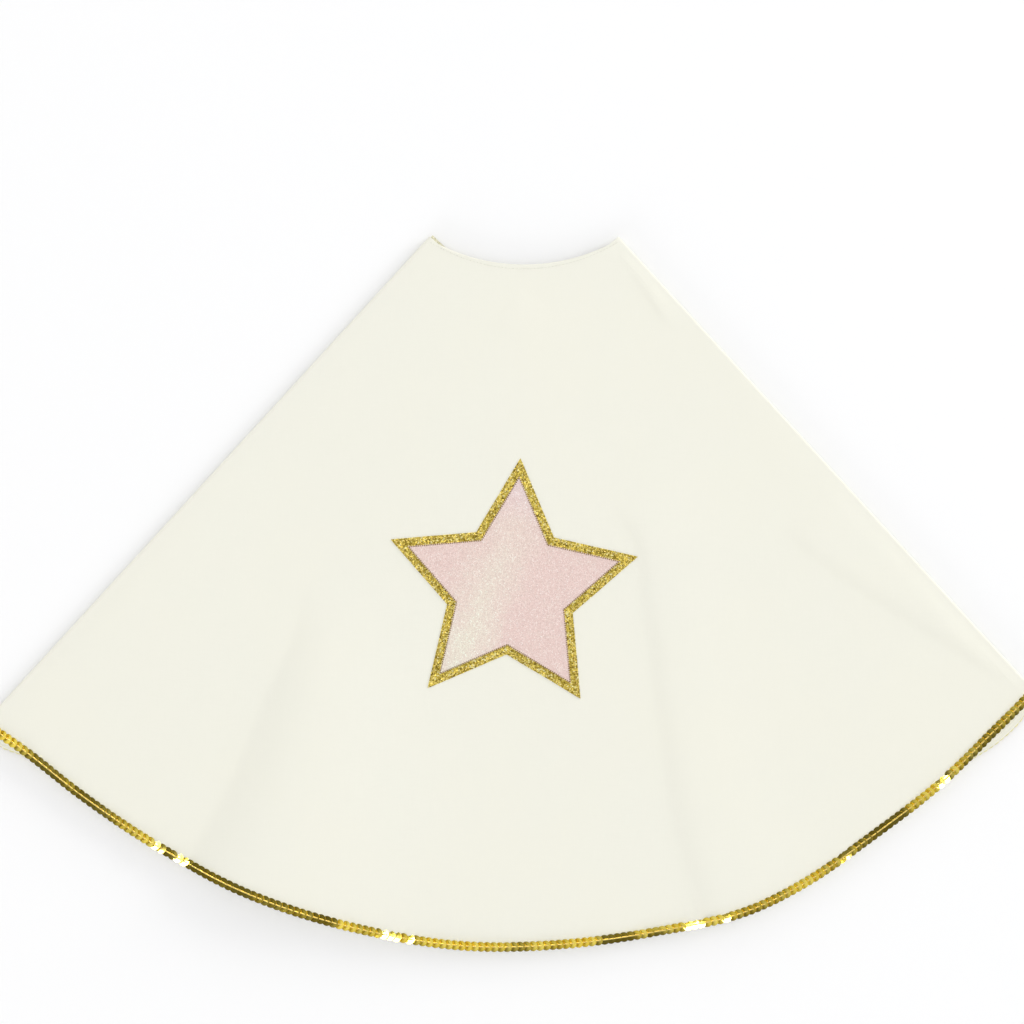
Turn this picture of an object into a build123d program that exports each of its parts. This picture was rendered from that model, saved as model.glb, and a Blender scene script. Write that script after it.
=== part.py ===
from build123d import *
from math import asin, cos, degrees, hypot, radians, sin
import os

import numpy as np

# A child's cape, a sector of cloth with a lining, lying on the floor with its back up and both
# front panels turned under along the shoulder folds.  Millimetres.  +Z is up, +Y points to the
# neck, the floor is z = 0, and the origin is on the floor below the nape, the lowest point of
# the back neckline.  Angles are measured at the apex from straight down, positive to +X.

# The cut
APEX_Y = 102.4              # the apex, where the two shoulder folds would meet
FOLD_ANGLE = 42.5           # each shoulder fold
FRONT_ANGLE = 40.0          # each front panel, from its fold to its free front edge
CORNER_DROP = 7.6           # the neck corners lie this much further from the apex than the nape
FRONT_NECK_DROP = 4.0       # the front neckline is cut this much lower at the front edge

# The sewing line of the hem's sequins: angle and distance from the apex
HEM_LINE = {
    -42.5: 636.5, -39: 632.8, -34: 634.3, -27: 638.7, -20: 643.0, -12: 646.4, -4: 648.6,
    3: 646.2, 9: 644.2, 17: 643.0, 21: 636.5, 26: 625.5, 33: 614.4, 38: 606.2, 42.5: 602.0,
}
# The same line on each front panel, by angle from its fold.  Both front edges are as long.
FRONT_HEM_LEFT = {0: 636.5, 1.5: 640.5, 3.5: 634.0, 8: 630.0, 16: 623.5, 27: 615.0, 40: 608.0}
FRONT_HEM_RIGHT = {0: 602.0, 1.7: 609.5, 4.2: 612.5, 7: 610.5, 12: 609.0, 24: 608.5, 40: 608.0}

# Cloth
SHELL_T = 1.0
LINING_T = 0.8
LAYER_GAP = 1.0             # air between the linings of the back and of the turned-under fronts
HEM_PAST_LINE = 2.5         # cloth beyond the sequins' sewing line
LINING_SHORTER = 3.0        # the lining stops short of the shell at the hem
FOLD_INSET = 2.6            # the layers stop this far short of the fold's middle
FOLD_R = 2.2                # the rolled edge of the shell at a shoulder fold

# Sequin trim
TRIM_W = 8.0
TRIM_T = 2.0
TRIM_THREAD_W = 0.8
TRIM_THREAD_T = 0.4

# Stitching
STITCH_W = 0.8
STITCH_T = 0.25
EDGE_STITCH_IN = 3.0        # topstitching in from the neck and front edges
STRAP_STITCH_IN = 2.0

# Star
STAR_X = -10.1
STAR_Y = -258.6
STAR_TIP = 104.0
STAR_NOTCH = 52.8
STAR_POINTS = 5
STAR_TILT = 4.0             # leans to +X
STAR_BORDER = 6.6
STAR_BACKING_T = 0.6
STAR_FACE_T = 0.5
STAR_STITCH_IN = 1.4

# Closure strap, folded back below the left front panel with its tip at the left neck corner
STRAP_W = 24.0
STRAP_T = 0.8
STRAP_ROOT_R = 113.0        # the strap's inner edge at its root, from the apex
STRAP_TIP_R = 106.8         # and at its tip
STRAP_TIP_ANGLE = 43.2
PAD_MARGIN_IN = 8.0         # between the pads and the strap's inner edge, clear of the topstitching
PAD_MARGIN_OUT = 2.0
PAD_FAR_ANGLE = 40.0        # the hook pad's ends, on the strap
PAD_NEAR_ANGLE = 20.0
HOOK_PAD_T = 0.6
LOOP_PAD_T = 0.7
PAD_STITCH_IN = 1.6

# Care label, blank, hanging inside the nape
LABEL_W = 24.0
LABEL_L = 36.0
LABEL_T = 0.3
LABEL_FROM_NAPE = 6.0

# Heights, from the floor up
FRONT_SHELL_Z = TRIM_T
FRONT_LINING_Z = FRONT_SHELL_Z + SHELL_T
FRONT_TOP_Z = FRONT_LINING_Z + LINING_T
FOLD_Z = FRONT_TOP_Z + LAYER_GAP / 2
BACK_LINING_Z = FRONT_TOP_Z + LAYER_GAP
BACK_SHELL_Z = BACK_LINING_Z + LINING_T
BACK_TOP_Z = BACK_SHELL_Z + SHELL_T
STAR_FACE_Z = BACK_TOP_Z + STAR_BACKING_T
STAR_TOP_Z = STAR_FACE_Z + STAR_FACE_T
STRAP_Z = HOOK_PAD_T

FRONT_EDGE_ANGLE = FOLD_ANGLE - FRONT_ANGLE
CURVE_POINTS = 7            # points on a neckline or strap edge, which are near-circular arcs


def spot(radius, angle):
    """The point at a distance and an angle from the apex."""
    return (radius * sin(radians(angle)), APEX_Y - radius * cos(radians(angle)))


def limit(radius, inset):
    """The angle at which a line beside a shoulder fold, inset from it, has this radius."""
    return FOLD_ANGLE - degrees(asin(inset / radius))


def read(table, angle):
    return float(np.interp(angle, sorted(table), [table[key] for key in sorted(table)]))


def neck_radius(angle):
    return APEX_Y + CORNER_DROP * (angle / FOLD_ANGLE) ** 2


def front_neck_radius(angle):
    turned = (FOLD_ANGLE - abs(angle)) / FRONT_ANGLE
    return APEX_Y + CORNER_DROP + FRONT_NECK_DROP * turned


def front_hem_radius(angle):
    table = FRONT_HEM_LEFT if angle < 0 else FRONT_HEM_RIGHT
    return read(table, FOLD_ANGLE - abs(angle))


def back_neck(offset, inset):
    """Points along the back neckline, moved out from the apex by offset."""
    end = limit(neck_radius(FOLD_ANGLE) + offset, inset)
    return [spot(neck_radius(a) + offset, a) for a in np.linspace(-end, end, CURVE_POINTS)]


def back_hem(offset, inset):
    """Points along the back hem's sewing line, moved out from the apex by offset."""
    ends = {
        side: side * limit(read(HEM_LINE, side * FOLD_ANGLE) + offset, inset)
        for side in (-1, 1)
    }
    inner = [a for a in sorted(HEM_LINE) if abs(a) < FOLD_ANGLE]
    angles = [ends[-1], *inner, ends[1]]
    return [spot(read(HEM_LINE, a) + offset, a) for a in angles]


def front_angles(side, radius, inset, from_edge, turns):
    """Angles across a front panel, from its front edge out to its fold, turns short of the fold."""
    near = FRONT_EDGE_ANGLE + degrees(from_edge / radius)
    far = limit(radius, inset)
    middle = [FOLD_ANGLE - turn for turn in turns if near < FOLD_ANGLE - turn < far]
    return [side * a for a in [near, *sorted(middle), far]]


def front_neck(side, offset, inset, from_edge=0.0):
    """Points along a front neckline, from the front edge out to the fold."""
    radius = APEX_Y + CORNER_DROP + offset
    turns = np.linspace(0, FRONT_ANGLE, CURVE_POINTS)
    angles = front_angles(side, radius, inset, from_edge, turns)
    return [spot(front_neck_radius(a) + offset, a) for a in angles]


def front_hem(side, offset, inset):
    """Points along a front hem's sewing line, from the front edge out to the fold."""
    turns = FRONT_HEM_LEFT if side < 0 else FRONT_HEM_RIGHT
    radius = front_hem_radius(side * FOLD_ANGLE) + offset
    angles = front_angles(side, radius, inset, 0, turns)
    return [spot(front_hem_radius(a) + offset, a) for a in angles]


def star_points(inset):
    """The corners of the star, with each edge moved in by inset."""
    corner = radians(180 / STAR_POINTS)
    edge = hypot(STAR_TIP - STAR_NOTCH * cos(corner), STAR_NOTCH * sin(corner))
    apothem = STAR_TIP * STAR_NOTCH * sin(corner) / edge
    scale = 1 - inset / apothem
    points = []
    for step in range(2 * STAR_POINTS):
        radius = scale * (STAR_TIP if step % 2 == 0 else STAR_NOTCH)
        turn = radians(90 - STAR_TILT - step * 180 / STAR_POINTS)
        points.append((STAR_X + radius * cos(turn), STAR_Y + radius * sin(turn)))
    return points


def strap_edge(side, offset, near, far):
    """Points on a strap's edge, offset from its inner one; side +1 is where it lies when closed.

    The closed strap is the folded one turned over about the left front edge, and near and far
    are angles on the folded strap.
    """
    points = []
    for a in np.linspace(near, far, CURVE_POINTS):
        share = (a - FRONT_EDGE_ANGLE) / (STRAP_TIP_ANGLE - FRONT_EDGE_ANGLE)
        radius = STRAP_ROOT_R + (STRAP_TIP_R - STRAP_ROOT_R) * share + offset
        points.append(spot(radius, -a if side < 0 else a - 2 * FRONT_EDGE_ANGLE))
    return points


def between(height, thickness, inner, outer):
    """A flat piece between two curves, each a list of points."""
    with BuildPart() as piece:
        with BuildSketch(Plane.XY.offset(height)):
            with BuildLine():
                first = Spline(*inner)
                second = Spline(*outer)
                Line(first @ 0, second @ 0)
                Line(first @ 1, second @ 1)
            make_face()
        extrude(amount=thickness)
    return piece


def together(*pieces):
    """Several pieces kept as one sub-part."""
    with BuildPart() as whole:
        for piece in pieces:
            add(piece.part)
    return whole


def with_grooves(blank, *rows):
    """A piece with room cut in it for each row of stitching that is sunk into its face."""
    with BuildPart() as grooved:
        add(blank.part)
        for row in rows:
            add(row.part, mode=Mode.SUBTRACT)
    return grooved


def save(name, piece):
    piece.part.label = name
    export_step(piece.part, f"parts/{name}.step")


os.makedirs("parts", exist_ok=True)

# ---- Back panel ---------------------------------------------------------------------------

# The shell's cloth rolls round each shoulder fold, which is what a front panel turns on.
with BuildPart() as back_shell:
    with BuildSketch(Plane.XY.offset(BACK_SHELL_Z)):
        with BuildLine():
            neck = Spline(*back_neck(0, 0))
            hem = Spline(*back_hem(HEM_PAST_LINE, 0))
            Line(neck @ 0, hem @ 0)
            Line(neck @ 1, hem @ 1)
        make_face()
    extrude(amount=SHELL_T)
    for side in (-1, 1):
        fold_top = neck_radius(FOLD_ANGLE)
        fold_end = read(HEM_LINE, side * FOLD_ANGLE) + HEM_PAST_LINE
        x, y = spot(fold_top, side * FOLD_ANGLE)
        along = (sin(radians(side * FOLD_ANGLE)), -cos(radians(FOLD_ANGLE)), 0)
        with BuildSketch(Plane(origin=(x, y, FOLD_Z), z_dir=along)):
            Circle(FOLD_R)
        extrude(amount=fold_end - fold_top)
save("back_shell", back_shell)

back_lining = between(
    BACK_LINING_Z,
    LINING_T,
    back_neck(0, FOLD_INSET),
    back_hem(HEM_PAST_LINE - LINING_SHORTER, FOLD_INSET),
)
save("back_lining", back_lining)

neck_stitching_back = between(
    BACK_TOP_Z,
    STITCH_T,
    back_neck(EDGE_STITCH_IN - STITCH_W / 2, 0),
    back_neck(EDGE_STITCH_IN + STITCH_W / 2, 0),
)
save("neck_stitching_back", neck_stitching_back)

with BuildPart() as care_label:
    with BuildSketch(Plane.XY.offset(BACK_LINING_Z - LABEL_T)):
        with Locations((0, -LABEL_FROM_NAPE - LABEL_L / 2)):
            Rectangle(LABEL_W, LABEL_L)
    extrude(amount=LABEL_T)
save("care_label", care_label)

# ---- Star on the back ---------------------------------------------------------------------


def star_piece(height, thickness, inset, hole_inset=None):
    """A star with its edges moved in by inset, or a ring of one when hole_inset is given."""
    with BuildPart() as piece:
        with BuildSketch(Plane.XY.offset(height)):
            with BuildLine():
                Polyline(*star_points(inset), close=True)
            make_face()
            if hole_inset:
                with BuildLine():
                    Polyline(*star_points(hole_inset), close=True)
                make_face(mode=Mode.SUBTRACT)
        extrude(amount=thickness)
    return piece


save("star_backing", star_piece(BACK_TOP_Z, STAR_BACKING_T, 0))
save("star_face", star_piece(STAR_FACE_Z, STAR_FACE_T, STAR_BORDER))
save(
    "star_backing_stitching",
    star_piece(STAR_FACE_Z, STITCH_T, STAR_STITCH_IN, STAR_STITCH_IN + STITCH_W),
)
save(
    "star_face_stitching",
    star_piece(STAR_TOP_Z, STITCH_T, STAR_BORDER + STITCH_W, STAR_BORDER + 2 * STITCH_W),
)

# ---- Front panels, turned under -----------------------------------------------------------

for side, word in ((-1, "left"), (1, "right")):
    shell = between(
        FRONT_SHELL_Z,
        SHELL_T,
        front_neck(side, 0, FOLD_INSET),
        front_hem(side, HEM_PAST_LINE, FOLD_INSET),
    )
    save(f"front_{word}_shell", shell)

    lining = between(
        FRONT_LINING_Z,
        LINING_T,
        front_neck(side, 0, FOLD_INSET),
        front_hem(side, HEM_PAST_LINE - LINING_SHORTER, FOLD_INSET),
    )
    save(f"front_{word}_lining", lining)

    # One line of topstitching runs along the neck and down the front edge.
    neck_in = EDGE_STITCH_IN - STITCH_W / 2
    neck_out = EDGE_STITCH_IN + STITCH_W / 2
    top = front_neck_radius(side * FRONT_EDGE_ANGLE) + neck_in
    foot = front_hem_radius(side * FRONT_EDGE_ANGLE) - TRIM_W
    with BuildPart() as edge_stitching:
        with BuildSketch(Plane.XY.offset(FRONT_SHELL_Z - STITCH_T)):
            with BuildLine():
                upper = Spline(*front_neck(side, neck_in, FOLD_INSET, neck_in))
                lower = Spline(*front_neck(side, neck_out, FOLD_INSET, neck_in))
                Line(upper @ 0, lower @ 0)
                Line(upper @ 1, lower @ 1)
            make_face()
            with BuildLine():
                corners = []
                for radius, across in ((top, 0), (foot, 0), (foot, 1), (top, 1)):
                    step = (neck_in, neck_out)[across]
                    turn = FRONT_EDGE_ANGLE + degrees(asin(step / radius))
                    corners.append(spot(radius, side * turn))
                Polyline(*corners, close=True)
            make_face()
        extrude(amount=STITCH_T)
    save(f"edge_stitching_front_{word}", edge_stitching)

# ---- Sequin trim along the hem ------------------------------------------------------------

HALF_TRIM = TRIM_W / 2
HALF_THREAD = TRIM_THREAD_W / 2


def trim_pair(name, trim_z, thread_z, curve):
    """A band of sequins, and the thread that lies in the dip along its middle."""
    band = between(trim_z, TRIM_T, curve(-HALF_TRIM), curve(HALF_TRIM))
    thread = between(thread_z, TRIM_THREAD_T, curve(-HALF_THREAD), curve(HALF_THREAD))
    save(f"hem_sequins_{name}", with_grooves(band, thread))
    save(f"hem_thread_{name}", thread)


trim_pair(
    "back",
    BACK_TOP_Z,
    BACK_TOP_Z + TRIM_T - TRIM_THREAD_T,
    lambda offset: back_hem(offset, 0),
)
trim_pair("front_left", 0, 0, lambda offset: front_hem(-1, offset, FOLD_INSET))
trim_pair("front_right", 0, 0, lambda offset: front_hem(1, offset, FOLD_INSET))

# ---- Closure ------------------------------------------------------------------------------

strap_ends = (FRONT_EDGE_ANGLE, STRAP_TIP_ANGLE)
closure_strap = between(
    STRAP_Z,
    STRAP_T,
    strap_edge(-1, 0, *strap_ends),
    strap_edge(-1, STRAP_W, *strap_ends),
)
save("closure_strap", closure_strap)

strap_stitching = between(
    STRAP_Z + STRAP_T,
    STITCH_T,
    strap_edge(-1, STRAP_W - STRAP_STITCH_IN - STITCH_W, *strap_ends),
    strap_edge(-1, STRAP_W - STRAP_STITCH_IN, *strap_ends),
)
save("strap_stitching", strap_stitching)


def pad_pair(name, side, pad_z, pad_t):
    """A strip of hook-and-loop tape with two rows of stitching sunk into its lower face."""

    def across(height, thickness, start, end):
        ends = (PAD_NEAR_ANGLE, PAD_FAR_ANGLE)
        return between(
            height,
            thickness,
            strap_edge(side, start, *ends),
            strap_edge(side, end, *ends),
        )

    near, far = PAD_MARGIN_IN, STRAP_W - PAD_MARGIN_OUT
    blank = across(pad_z, pad_t, near, far)
    rows = [
        across(pad_z, STITCH_T, start, start + STITCH_W)
        for start in (near + PAD_STITCH_IN, far - PAD_STITCH_IN - STITCH_W)
    ]
    save(name, with_grooves(blank, *rows))
    save(f"{name}_stitching", together(*rows))


pad_pair("hook_pad", -1, 0, HOOK_PAD_T)
pad_pair("loop_pad", 1, FRONT_SHELL_Z - LOOP_PAD_T, LOOP_PAD_T)
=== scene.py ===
from collections import namedtuple
from math import cos, hypot, pi, radians, sin

import bmesh
import bpy
import numpy as np
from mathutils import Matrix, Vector


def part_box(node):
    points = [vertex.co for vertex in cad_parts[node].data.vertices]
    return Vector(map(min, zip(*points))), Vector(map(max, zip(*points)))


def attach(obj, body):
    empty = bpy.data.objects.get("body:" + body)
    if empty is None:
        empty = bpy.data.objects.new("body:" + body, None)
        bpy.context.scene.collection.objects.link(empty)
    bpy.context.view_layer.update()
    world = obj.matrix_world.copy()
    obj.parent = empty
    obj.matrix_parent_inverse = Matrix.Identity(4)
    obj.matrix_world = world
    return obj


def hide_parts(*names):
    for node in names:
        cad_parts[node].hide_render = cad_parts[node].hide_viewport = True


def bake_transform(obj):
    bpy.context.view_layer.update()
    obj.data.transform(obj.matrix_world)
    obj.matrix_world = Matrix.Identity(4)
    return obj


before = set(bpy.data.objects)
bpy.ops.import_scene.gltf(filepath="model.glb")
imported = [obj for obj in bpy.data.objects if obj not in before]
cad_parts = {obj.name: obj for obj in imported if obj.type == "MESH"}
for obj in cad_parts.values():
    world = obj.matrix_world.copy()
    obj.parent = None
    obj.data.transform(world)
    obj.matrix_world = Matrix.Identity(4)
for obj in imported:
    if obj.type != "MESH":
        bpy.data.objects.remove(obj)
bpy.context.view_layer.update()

# A child's cape laid flat with its back up and both front panels turned under along the shoulder
# folds.  Sizes are in millimetres and become metres when a mesh is made.  Angles are measured at
# the apex, where the two folds would meet, from straight down, positive to +X.
MM = 0.001

# ---- The cut, as in the CAD part -----------------------------------------------------------

APEX_Y = 102.4
FOLD_ANGLE = 42.5
FRONT_ANGLE = 40.0
FRONT_EDGE_ANGLE = FOLD_ANGLE - FRONT_ANGLE
CORNER_DROP = 7.6
FRONT_NECK_DROP = 4.0
HEM_LINE = {
    -42.5: 636.5, -39: 632.8, -34: 634.3, -27: 638.7, -20: 643.0, -12: 646.4, -4: 648.6,
    3: 646.2, 9: 644.2, 17: 643.0, 21: 636.5, 26: 625.5, 33: 614.4, 38: 606.2, 42.5: 602.0,
}
FRONT_HEM_LEFT = {0: 636.5, 1.5: 640.5, 3.5: 634.0, 8: 630.0, 16: 623.5, 27: 615.0, 40: 608.0}
FRONT_HEM_RIGHT = {0: 602.0, 1.7: 609.5, 4.2: 612.5, 7: 610.5, 12: 609.0, 24: 608.5, 40: 608.0}
HEM_PAST_LINE = 2.5
LINING_SHORTER = 3.0
EDGE_STITCH_IN = 3.0
STRAP_STITCH_IN = 2.0

STAR_X = -10.1
STAR_Y = -258.6
STAR_TIP = 104.0
STAR_NOTCH = 52.8
STAR_POINTS = 5
STAR_TILT = 4.0
STAR_BORDER = 6.6
STAR_STITCH_IN = 1.4

STRAP_W = 24.0
STRAP_ROOT_R = 113.0
STRAP_TIP_R = 106.8
STRAP_TIP_ANGLE = 43.2
PAD_MARGIN_IN = 8.0
PAD_MARGIN_OUT = 2.0
PAD_NEAR_ANGLE = 20.0
PAD_FAR_ANGLE = 40.0
PAD_STITCH_IN = 1.6


def low(node):
    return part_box(node)[0].z / MM


def high(node):
    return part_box(node)[1].z / MM


def middle_of(node):
    return (low(node) + high(node)) / 2


# Heights of the middle of each layer of cloth
SHELL_T = 0.9
LINING_T = 0.7
BACK_TOP = high("back_lining") + 1.0
BACK_SHELL_MID = BACK_TOP - 0.5
BACK_LINING_MID = middle_of("back_lining")
FRONT_SHELL_MID = middle_of("front_left_shell")
FRONT_LINING_MID = middle_of("front_left_lining")
FOLD_Z = (BACK_SHELL_MID + FRONT_SHELL_MID) / 2
STRAP_MID = middle_of("closure_strap")

CUT = 8.0                   # the back's cloth is joined to the folds' this far inside each fold


def curve(table):
    """A smooth curve through a table of {position: value}, as a function of position."""
    x = np.array(sorted(table), float)
    y = np.array([table[key] for key in sorted(table)], float)
    slope = np.gradient(y, x)

    def value(at):
        at = np.clip(np.asarray(at, float), x[0], x[-1])
        k = np.clip(np.searchsorted(x, at) - 1, 0, len(x) - 2)
        width = x[k + 1] - x[k]
        t = (at - x[k]) / width
        return (
            y[k] * (1 + 2 * t) * (1 - t) ** 2
            + slope[k] * width * t * (1 - t) ** 2
            + y[k + 1] * t ** 2 * (3 - 2 * t)
            + slope[k + 1] * width * t ** 2 * (t - 1)
        )

    return value


hem_radius = curve(HEM_LINE)
front_hem = {-1: curve(FRONT_HEM_LEFT), 1: curve(FRONT_HEM_RIGHT)}


def neck_radius(angle):
    return APEX_Y + CORNER_DROP * (angle / FOLD_ANGLE) ** 2


def front_neck_radius(turn):
    return APEX_Y + CORNER_DROP + FRONT_NECK_DROP * turn / FRONT_ANGLE


def spot(radius, angle):
    """Plan position at a distance and an angle from the apex."""
    turn = np.radians(angle)
    return radius * np.sin(turn), APEX_Y - radius * np.cos(turn)


def beside_fold(radius, inset, side):
    """Plan position at a distance from the apex, inset from a shoulder fold."""
    return spot(radius, side * (FOLD_ANGLE - np.degrees(np.arcsin(inset / radius))))


def raised(plan, height):
    """Points at plan positions and heights."""
    return np.stack(np.broadcast_arrays(*plan, height), -1)


def smooth(value):
    value = np.clip(value, 0, 1)
    return value * value * (3 - 2 * value)


def inside_fold(x, y, side):
    """Distance of a plan position inside a shoulder fold."""
    turn = radians(FOLD_ANGLE)
    return (APEX_Y - y) * sin(turn) - side * x * cos(turn)


# ---- How the cloth lies --------------------------------------------------------------------

CRISP = 2.0                 # how wide the bend is at the foot of a crease


class Crease:
    """A fold lying over: flat up to a line, steepest just east of it, then falling off gently."""

    def __init__(self, spine, steep, width, tail, rise, fall=0.0):
        points = np.array(spine, float)
        steps = np.r_[0, np.cumsum(np.hypot(*np.diff(points, axis=0).T))]
        fine = np.linspace(0, steps[-1], 40)
        self.points = np.stack(
            [curve(dict(zip(steps, points[:, axis])))(fine) for axis in (0, 1)], 1
        )
        self.steep, self.width, self.tail = steep, width, tail
        self.rise, self.fall = rise, fall

    def __call__(self, x, y):
        where = np.stack([x, y], -1)
        best = np.full(x.shape, np.inf)
        along = np.zeros(x.shape)
        across = np.zeros(x.shape)
        count = len(self.points) - 1
        for step in range(count):
            start, end = self.points[step], self.points[step + 1]
            way = end - start
            length = np.hypot(*way)
            share = np.clip(((where - start) @ way) / length ** 2, 0, 1)
            gap = where - start - share[..., None] * way
            far = np.hypot(gap[..., 0], gap[..., 1])
            near = far < best
            side = np.sign(way[0] * gap[..., 1] - way[1] * gap[..., 0])
            best = np.where(near, far, best)
            along = np.where(near, (step + share) / count, along)
            across = np.where(near, side * far, across)
        width = self.width[0] + (self.width[1] - self.width[0]) * along
        tail = self.tail[0] + (self.tail[1] - self.tail[0]) * along
        past = (across + np.sqrt(across ** 2 + CRISP ** 2)) / 2
        share = np.minimum(past / width, 1)
        height = self.steep * width / 2 * share * (2 - share) * smooth(along / self.rise)
        if self.fall:
            height = height * smooth((1 - along) / self.fall)
        beyond = np.maximum(past - width, 0) / tail
        return height * np.exp(-0.5 * beyond ** 2)


CREASES = (
    # the long flute that opens towards the hem on the left
    Crease(
        [(-176, -236), (-180, -284), (-208, -350), (-231, -408), (-263, -468), (-300, -530)],
        0.34, (26, 60), (36, 76), 0.3,
    ),
    # the narrow crease from the star's upper right down to the hem
    Crease(
        [(58, -188), (84, -214), (95, -268), (106, -348), (120, -444), (137, -508), (152, -570)],
        0.29, (12, 23), (28, 44), 0.12,
    ),
    # the slanting crease in front of the right-hand corner
    Crease(
        [(202, -210), (238, -239), (286, -272), (338, -305), (412, -352)],
        0.28, (9, 15), (28, 34), 0.12,
    ),
    # two short ones by the neckline
    Crease([(-1, -18), (-10, -31), (-22, -45), (-30, -60)], 0.34, (4, 5), (18, 22), 0.25, 0.5),
    Crease([(67, 14), (83, -4), (101, -30), (119, -62)], 0.44, (8, 11), (14, 18), 0.3, 0.5),
)
ROUNDING = {-1: (0.5, 4.5), 1: (0.1, 5.0)}      # drop at each fold, and how far in it reaches
SWELL = 0.45                # half the height of the broad swells over the whole back
FLAT_AT_FOLD = 16           # creases and swells die out this near a fold
HANG = 1.6                  # how far the middle of a turned-under front hangs


def relief(x, y):
    """How far the back stands above its flat height."""
    x, y = np.asarray(x, float), np.asarray(y, float)
    height = sum(crease(x, y) for crease in CREASES)
    height = height + SWELL * (1 + np.sin(x / 61 + y / 143) * np.sin(y / 87 - x / 211))
    for side in (-1, 1):
        inside = np.maximum(inside_fold(x, y, side), 0)
        drop, reach = ROUNDING[side]
        height = height * smooth(inside / FLAT_AT_FOLD) - drop * np.exp(-inside / reach)
    return height


def sag(radius, turn, side):
    """How far a turned-under front hangs towards the floor, between what is sewn on it."""
    inset = radius * np.sin(np.radians(turn))
    hem = front_hem[side](turn)
    # it is held up near the fold, the hem and the neck
    depth = smooth((inset - 6) / 50) * smooth((hem - 8 - radius) / 50) * smooth((radius - 150) / 60)
    return -HANG * depth


# ---- Meshes --------------------------------------------------------------------------------


looks = {}                  # every material by its name


def make(name, shape, slot, body, node, look=None, mend=True):
    """A piece from points in millimetres and faces, riding on a body and standing for a CAD node.
    Its look is named like its slot unless look names another."""
    points, faces = shape
    data = bpy.data.meshes.new(name)
    data.from_pydata((np.asarray(points) * MM).tolist(), [], faces)
    if mend:
        work = bmesh.new()
        work.from_mesh(data)
        bmesh.ops.recalc_face_normals(work, faces=work.faces)
        work.to_mesh(data)
        work.free()
    data.polygons.foreach_set("use_smooth", np.ones(len(data.polygons), bool))
    data.set_sharp_from_angle(angle=radians(50))
    data.materials.append(looks[look or slot])
    piece = bpy.data.objects.new(name, data)
    bpy.context.scene.collection.objects.link(piece)
    if body:
        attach(piece, body)
    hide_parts(node)
    return piece


def unit(vectors):
    return vectors / np.maximum(np.linalg.norm(vectors, axis=-1, keepdims=True), 1e-9)


def thicken(points, normals, faces, rim, outward, thickness):
    """Closes a surface into cloth of a thickness, with its edge rounded where outward isn't 0."""
    count = len(points)
    half = thickness / 2
    middle = points[rim] + outward * half
    every = np.concatenate([points + normals * half, points - normals * half, middle])
    solid = list(faces) + [tuple(count + k for k in reversed(face)) for face in faces]
    size = len(rim)
    for k in range(size):
        a, b = rim[k], rim[(k + 1) % size]
        m, n = 2 * count + k, 2 * count + (k + 1) % size
        solid.append((b, a, m, n))
        solid.append((n, m, count + a, count + b))
    return every, solid


def cloth(grid, thickness, cut=()):
    """Points and faces of cloth over a grid of points.  cut names the sides joined to a neighbour:
    first and last are columns."""
    rows, columns = grid.shape[:2]
    down = np.gradient(grid, axis=0)
    across = np.gradient(grid, axis=1)
    normals = unit(np.cross(down, across))
    index = np.arange(rows * columns).reshape(rows, columns)
    quads = np.stack(
        [index[:-1, :-1], index[1:, :-1], index[1:, 1:], index[:-1, 1:]], -1
    ).reshape(-1, 4)
    rim = np.concatenate(
        [index[0, :-1], index[:-1, -1], index[-1, :0:-1], index[:0:-1, 0]]
    )
    outward = np.zeros(grid.shape)
    outward[0] -= unit(down[0])
    outward[-1] += unit(down[-1])
    if "first" not in cut:
        outward[:, 0] -= unit(across[:, 0])
    if "last" not in cut:
        outward[:, -1] += unit(across[:, -1])
    outward = outward.reshape(-1, 3)[rim]
    length = np.linalg.norm(outward, axis=-1, keepdims=True)
    outward = np.where(length > 1, outward / np.maximum(length, 1e-9), outward)
    flat = grid.reshape(-1, 3)
    return thicken(
        flat, normals.reshape(-1, 3), [tuple(q) for q in quads.tolist()], rim.tolist(),
        outward, thickness,
    )


def rows_between(count):
    """Shares from 0 to 1, close together at both ends so that only the edge itself is rounded."""
    near = np.array([0, 0.9, 2.6]) / 1000
    first = 6 / 1000
    return np.r_[near, np.linspace(first, 1 - first, count - 6), 1 - near[::-1]]


def back_grid(layer):
    """The back between the two joins with its folds."""
    v = rows_between(layer.rows)[:, None]
    u = np.linspace(-1, 1, layer.columns)[None, :]
    nominal = u * FOLD_ANGLE
    neck = neck_radius(nominal)
    radius = neck + v * (hem_radius(nominal) + layer.past_line - neck)
    edge = FOLD_ANGLE - np.degrees(np.arcsin(CUT / radius))
    x, y = spot(radius, u * edge)
    return raised((x, y), layer.above + relief(x, y))


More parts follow.
